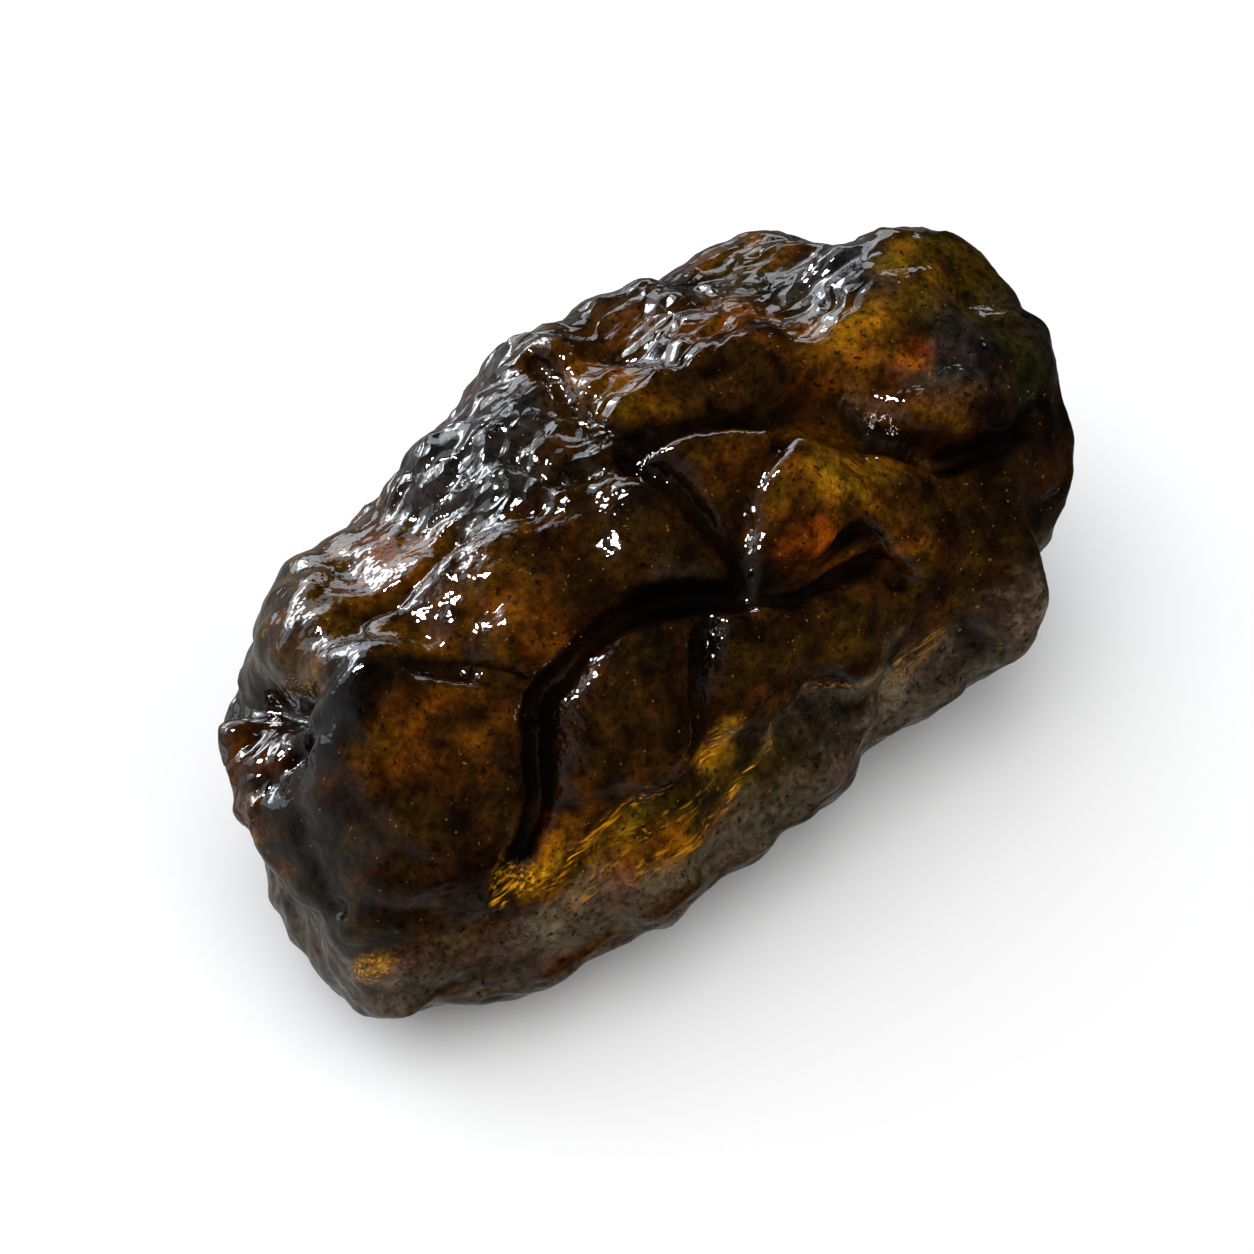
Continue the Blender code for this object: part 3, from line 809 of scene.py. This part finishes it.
def lobe_colours(lump, points):
    """The tone of the lobe that each point lies on, with painted shade towards its rim, softly mixed where
    lobes meet.
    """
    bent = lump.bent(points)
    tone_of = {name: tone for tone, names in LOBE_TONES.items() for name in names}
    nearness = [-(bulk_distance(bent) + BED_DEPTH)]
    tones = [np.broadcast_to(TONES[BED_TONE], points.shape)]
    for name, (centre, axes, radii) in lump.lobes.items():
        local = (bent - centre) @ axes.T
        rim = np.hypot(local[:, 0] / radii[0], local[:, 1] / radii[1])
        # Painted shade: the lobe darker towards its rim.
        shade = 1 - RIM_PAINTED_SHADE * smooth_step(*RIM_EDGE, rim)
        nearness.append(-ellipsoid_distance(bent, centre, axes, radii))
        tones.append(np.outer(shade, TONES[tone_of[name]]))
    nearness = np.array(nearness)
    weights = np.exp((nearness - nearness.max(axis=0)) / TONE_BLEND)
    weights /= weights.sum(axis=0)
    return np.einsum("lp,lpc->pc", weights, np.array(tones))


def stained(lump, points, colours):
    """The colours with each stain laid over them, ragged at its edge; some stains are painted shade and some
    painted glow.
    """
    bent = lump.bent(points)
    ragged = STAIN_RAGGED * noise_at(points, 1.6, 3, seed=6)
    for *oval, tone, strength in STAINS:
        near, share = oval_patch(bent, ragged, oval, STAIN_EDGE)
        share = STAIN_SHARE * strength * share[:, None]
        colours[near] = colours[near] * (1 - share) + share * np.array(TONES[tone])
    return colours


def hazed(points, colours, skirt):
    """The colours with pale streaks of haze on the skirt."""
    streaky = noise_at(points * STREAK_STRETCH, 1.6, 3, seed=8)
    share = skirt * np.clip(HAZE_SHARE + HAZE_SWING * streaky, 0, HAZE_MOST)
    return colours + share[:, None] * (np.array(TONES["haze"]) - colours)


def mottled(points, colours, skirt):
    """The colours lighter and darker, and warmer and cooler, in blotches that are calmer on the skirt."""
    swing = 1 - SKIRT_CALM * skirt
    blotch = 1 + BLOTCH_SWING * swing * noise_at(points, 3.2, 3, seed=5)
    cloud = 1 + CLOUD_SWING * swing * noise_at(points, 1.5, 4, seed=7)
    warm = np.clip(3.0 * noise_at(points, 2.4, 3, seed=11), -1, 1)[:, None] * WARM_SHIFT
    return colours * np.clip(blotch * cloud, *MOTTLE_RANGE)[:, None] * (1 + warm)


def openness(lump, points, normals, reach):
    """How open the surface is: 1 on a bump or a flat, less in a hollow."""
    return np.clip(lump(points + normals * reach) / reach, 0, 1)


def crust_and_shade(lump, points, normals, masks):
    """How dark the crust and painted shade are: most in furrows, and in hollows, where shade is painted from
    how open the surface is; none where the painted gold glow shows.
    """
    near, far = (openness(lump, points, normals, reach) for reach in HOLLOW_REACHES)
    hollow = 1 - near * far
    # The crust, with painted shade in the furrows and hollows.
    dark = np.clip(CRUST_AND_SHADE_DARK * (masks["furrow"] + hollow - HOLLOW_UNSHADED), 0, 1)
    return dark * (1 - masks["gleam"])


def write_layer(mesh, name, values):
    """Stores a number, or a colour as a vector, for each point."""
    kind, field = ("FLOAT_VECTOR", "vector") if values.ndim == 2 else ("FLOAT", "value")
    layer = mesh.attributes.new(name, kind, "POINT")
    layer.data.foreach_set(field, values.astype(np.float32).ravel())


def paint(mesh, lump, points, normals, masks):
    """Writes the painted colour and the masks as attributes of the mesh."""
    colours = stained(lump, points, lobe_colours(lump, points))
    colours = mottled(points, hazed(points, colours, masks["skirt"]), masks["skirt"])
    write_layer(mesh, "tone", np.clip(colours, 0, 1))
    write_layer(mesh, "dark", crust_and_shade(lump, points, normals, masks))
    for name in ("crumpled", "skirt", "gleam", "pocked"):
        write_layer(mesh, name, masks[name])


# ---------------------------------------------------------------- material

class Nodes:
    """A short way of adding and linking shader nodes."""

    def __init__(self, tree):
        self.tree = tree
        self.coordinates = self.add("ShaderNodeTexCoord").outputs

    def add(self, kind, **settings):
        node = self.tree.nodes.new(kind)
        for name, value in settings.items():
            setattr(node, name, value)
        return node

    def link(self, source, target):
        self.tree.links.new(source, target)

    def feed(self, value, socket):
        """Sets a socket to a number or a colour, or links it to another node's output."""
        if isinstance(value, (int, float)):
            socket.default_value = value
        elif isinstance(value, tuple):
            socket.default_value = (*value, 1)
        else:
            self.link(value, socket)

    def attribute(self, name, output="Fac"):
        return self.add("ShaderNodeAttribute", attribute_name=name).outputs[output]

    def noise(self, size, detail, rough=0.5, distort=0.0, place=None, output="Fac"):
        """Noise with features of about size millimetres, in object space unless a place is given."""
        texture = self.add("ShaderNodeTexNoise")
        texture.inputs["Scale"].default_value = 1 / (size * MM)
        texture.inputs["Detail"].default_value = detail
        texture.inputs["Roughness"].default_value = rough
        texture.inputs["Distortion"].default_value = distort
        self.link(place or self.coordinates["Object"], texture.inputs["Vector"])
        return texture.outputs[output]

    def ramp(self, value, stops):
        """A ramp of greys, each stop a position and a brightness."""
        ramp = self.add("ShaderNodeValToRGB")
        elements = ramp.color_ramp.elements
        while len(elements) < len(stops):
            elements.new(0.5)
        for element, (position, grey) in zip(elements, stops):
            element.position = position
            element.color = (grey, grey, grey, 1)
        self.link(value, ramp.inputs["Fac"])
        return ramp.outputs["Color"]

    def math(self, operation, *values):
        node = self.add("ShaderNodeMath", operation=operation)
        for socket, value in zip(node.inputs, values):
            self.feed(value, socket)
        return node.outputs["Value"]

    def stretched(self, place, factors):
        """A place with each axis multiplied, so that a texture is drawn out where the factor is small."""
        node = self.add("ShaderNodeVectorMath", operation="MULTIPLY")
        self.link(place, node.inputs[0])
        node.inputs[1].default_value = factors
        return node.outputs["Vector"]

    def mix(self, share, a, b, blend="MIX"):
        node = self.add("ShaderNodeMix", data_type="RGBA", blend_type=blend)
        self.feed(share, node.inputs[0])
        self.feed(a, node.inputs[6])
        self.feed(b, node.inputs[7])
        return node.outputs[2]


def crinkles(nodes):
    """A net of thin ridges, drawn out along the lump's length."""
    warp = nodes.noise(2.6, 1, output="Color")
    moved = nodes.add("ShaderNodeVectorMath", operation="ADD")
    nodes.link(nodes.coordinates["Object"], moved.inputs[0])
    nodes.link(nodes.stretched(warp, (CRINKLE_WARP * MM,) * 3), moved.inputs[1])
    cells = nodes.add("ShaderNodeTexVoronoi", feature="DISTANCE_TO_EDGE")
    cells.inputs["Scale"].default_value = 1 / (CRINKLE_SIZE * MM)
    nodes.link(nodes.stretched(moved.outputs["Vector"], CRINKLE_STRETCH), cells.inputs["Vector"])
    return nodes.ramp(cells.outputs["Distance"], ((0.0, 1.0), (0.12, 0.62), (0.32, 0.12), (0.5, 0.0)))


def painted_gold_glow(nodes):
    """Thin threads along the lump's length, painted gold glow standing in for light shining through."""
    place = nodes.stretched(nodes.coordinates["Object"], THREAD_STRETCH)
    thread = nodes.noise(THREAD_SIZE, 3, distort=0.4, place=place)
    thread = nodes.ramp(thread, ((0.47, 0.0), (0.58, 0.22), (0.66, 1.0)))
    return nodes.math("MULTIPLY", thread, nodes.attribute("gleam"))


def amber_colour(nodes, dark, undarkened):
    """The painted tone, mottled down to specks, with the dark crust and its painted shade, painted gold glow
    in threads and painted glints as pale sparks over it.
    """
    grain = nodes.ramp(nodes.noise(GRAIN_SIZE, 3, rough=0.65), ((0.30, 0.3), (0.5, 1.0), (0.7, 1.8)))
    colour = nodes.mix(1.0, nodes.attribute("tone", "Vector"), grain, "MULTIPLY")
    flecks = nodes.noise(FLECK_SIZE, 1)
    speck = nodes.ramp(flecks, ((0.30, 1.0), (0.36, 0.0)))
    colour = nodes.mix(nodes.math("MULTIPLY", speck, 0.8), colour, SPECK_TONE)
    # The crust and its painted shade darken the furrows and hollows.
    colour = nodes.mix(nodes.math("MULTIPLY", dark, 0.93), colour, CRUST_AND_SHADE_TONE)
    # Painted glow: threads of gold light on the skirt.
    colour = nodes.mix(painted_gold_glow(nodes), colour, PAINTED_GLOW_TONE)
    # Painted glints: pale sparks where the surface is free of crust and painted shade.
    painted_glint = nodes.ramp(flecks, ((0.73, 0.0), (0.77, 0.5)))
    return nodes.mix(nodes.math("MULTIPLY", painted_glint, undarkened), colour, PAINTED_GLINT_TONE)


def skin_height(nodes):
    """The height of the skin's pores, swells and crinkles, for the bump."""
    crumpled = nodes.attribute("crumpled")
    calm = nodes.math("SUBTRACT", 1.0, nodes.math("MULTIPLY", crumpled, 0.75))
    calm_rise = nodes.math("MULTIPLY", calm, PORE_RISE)
    pocked_rise = nodes.math("MULTIPLY", nodes.attribute("pocked"), POCKED_RISE)
    pores = nodes.math("MULTIPLY", nodes.noise(0.5, 1), nodes.math("ADD", calm_rise, pocked_rise))
    swell = nodes.math("MULTIPLY", nodes.noise(1.5, 1), SWELL_RISE)
    crinkle = nodes.math("MULTIPLY", nodes.math("MULTIPLY", crinkles(nodes), crumpled), CRINKLE_RISE)
    return nodes.math("ADD", nodes.math("ADD", pores, swell), crinkle)


def amber_material():
    material = bpy.data.materials.new("raw_amber")
    material.use_nodes = True
    nodes = Nodes(material.node_tree)
    shader = material.node_tree.nodes["Principled BSDF"]
    output = material.node_tree.nodes["Material Output"]
    shader.inputs["Roughness"].default_value = 0.055
    shader.inputs["IOR"].default_value = 1.54

    # The crust and its painted shade. Where neither is present, the resin lets light in and shows painted
    # glints.
    dark = nodes.attribute("dark")
    undarkened = nodes.math("SUBTRACT", 1.0, dark)
    nodes.link(amber_colour(nodes, dark, undarkened), shader.inputs["Base Color"])
    skirt_clear = nodes.math("MULTIPLY", nodes.attribute("skirt"), SKIRT_CLEAR)
    clear = nodes.math("ADD", nodes.math("MULTIPLY", undarkened, UNDARKENED_CLEAR), skirt_clear)
    nodes.link(clear, shader.inputs["Transmission Weight"])

    bump = nodes.add("ShaderNodeBump")
    bump.inputs["Strength"].default_value = 0.8
    bump.inputs["Distance"].default_value = 0.16 * MM
    nodes.link(skin_height(nodes), bump.inputs["Height"])
    nodes.link(bump.outputs["Normal"], shader.inputs["Normal"])

    absorb = nodes.add("ShaderNodeVolumeAbsorption")
    absorb.inputs["Color"].default_value = (0.87, 0.59, 0.02, 1)
    absorb.inputs["Density"].default_value = 780.0
    nodes.link(absorb.outputs["Volume"], output.inputs["Volume"])
    return material


# ---------------------------------------------------------------- the piece

def amber_piece():
    """The amber as a fine mesh in the frame's place."""
    lump = Lump()
    fine = lump_mesh(lump)
    points = read_points(fine)
    masks = region_masks(lump, points)
    fine.normal_update()
    normals = np.array([v.normal[:] for v in fine.verts])
    carved = points + normals * relief_height(points, masks)[:, None]
    carved[:, 2] = np.maximum(carved[:, 2], 0.0)

    middle = (points.max(axis=0) + points.min(axis=0)) / 2
    middle[2] = points[:, 2].min()
    write_points(fine, (carved - middle) * MM)
    mesh = bpy.data.meshes.new("raw_amber")
    fine.to_mesh(mesh)
    fine.free()
    paint(mesh, lump, points, normals, masks)
    mesh.shade_smooth()
    mesh.materials.append(amber_material())
    piece = bpy.data.objects.new("raw_amber", mesh)
    bpy.context.scene.collection.objects.link(piece)
    return piece


# ---------------------------------------------------------------- stage, light and camera

def view_axes():
    """Right, up and towards the camera."""
    azimuth, elevation = math.radians(AZIMUTH), math.radians(ELEVATION)
    right = Vector((math.cos(azimuth), math.sin(azimuth), 0))
    back = Vector((math.sin(azimuth) * math.cos(elevation), -math.cos(azimuth) * math.cos(elevation),
                   math.sin(elevation)))
    return right, back.cross(right), back


def add_camera():
    right, up, back = view_axes()
    camera = bpy.data.cameras.new("camera")
    camera.lens = LENS
    camera.sensor_width = SENSOR
    camera.clip_start = 0.01
    camera.clip_end = 20.0
    holder = bpy.data.objects.new("camera", camera)
    place = Matrix.Translation((Vector(AIM) + back * DISTANCE) * MM)
    holder.matrix_world = place @ Matrix((right, up, back)).transposed().to_4x4()
    bpy.context.scene.collection.objects.link(holder)
    bpy.context.scene.camera = holder


def add_floor():
    half = FLOOR_SIDE / 2
    corners = [(-half, -half, 0), (half, -half, 0), (half, half, 0), (-half, half, 0)]
    mesh = bpy.data.meshes.new("floor")
    mesh.from_pydata(corners, [], [(0, 1, 2, 3)])
    material = bpy.data.materials.new("floor")
    material.use_nodes = True
    shader = material.node_tree.nodes["Principled BSDF"]
    shader.inputs["Base Color"].default_value = FLOOR_WHITE
    shader.inputs["Roughness"].default_value = 1.0
    shader.inputs["Specular IOR Level"].default_value = 0.0
    mesh.materials.append(material)
    floor = bpy.data.objects.new("floor", mesh)
    floor.visible_glossy = False
    bpy.context.scene.collection.objects.link(floor)


def add_lamp(name, direction, distance, size, power, colour, missed_by):
    """A rectangular lamp that looks at the amber from a direction."""
    lamp = bpy.data.lights.new(name, "AREA")
    lamp.shape = "RECTANGLE"
    lamp.size, lamp.size_y = size
    lamp.energy = power
    lamp.color = colour
    holder = bpy.data.objects.new(name, lamp)
    way = Vector(direction).normalized()
    holder.location = way * distance
    holder.rotation_euler = way.to_track_quat("Z", "Y").to_euler()
    if missed_by:
        setattr(holder, "visible_" + missed_by, False)
    bpy.context.scene.collection.objects.link(holder)


def add_world():
    """A dim room, brighter low on the left and underfoot."""
    world = bpy.data.worlds.new("world")
    world.use_nodes = True
    nodes = Nodes(world.node_tree)
    background = world.node_tree.nodes["Background"]
    lean = nodes.add("ShaderNodeVectorMath", operation="DOT_PRODUCT")
    nodes.link(nodes.coordinates["Generated"], lean.inputs[0])
    lean.inputs[1].default_value = Vector(ROOM_BRIGHT_WAY).normalized()
    share = nodes.math("ADD", 0.5, nodes.math("MULTIPLY", lean.outputs["Value"], 0.5))
    nodes.link(nodes.ramp(share, ROOM_GLOW), background.inputs["Color"])
    background.inputs["Strength"].default_value = 1.0
    bpy.context.scene.world = world


def main():
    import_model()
    add_camera()
    add_floor()
    add_world()
    for name, values in LAMPS.items():
        add_lamp(name, *values)
    piece = amber_piece()
    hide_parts("amber")
    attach(piece, "root")
    bpy.context.scene.view_settings.view_transform = "Standard"
    bpy.context.scene.view_settings.look = "None"


main()
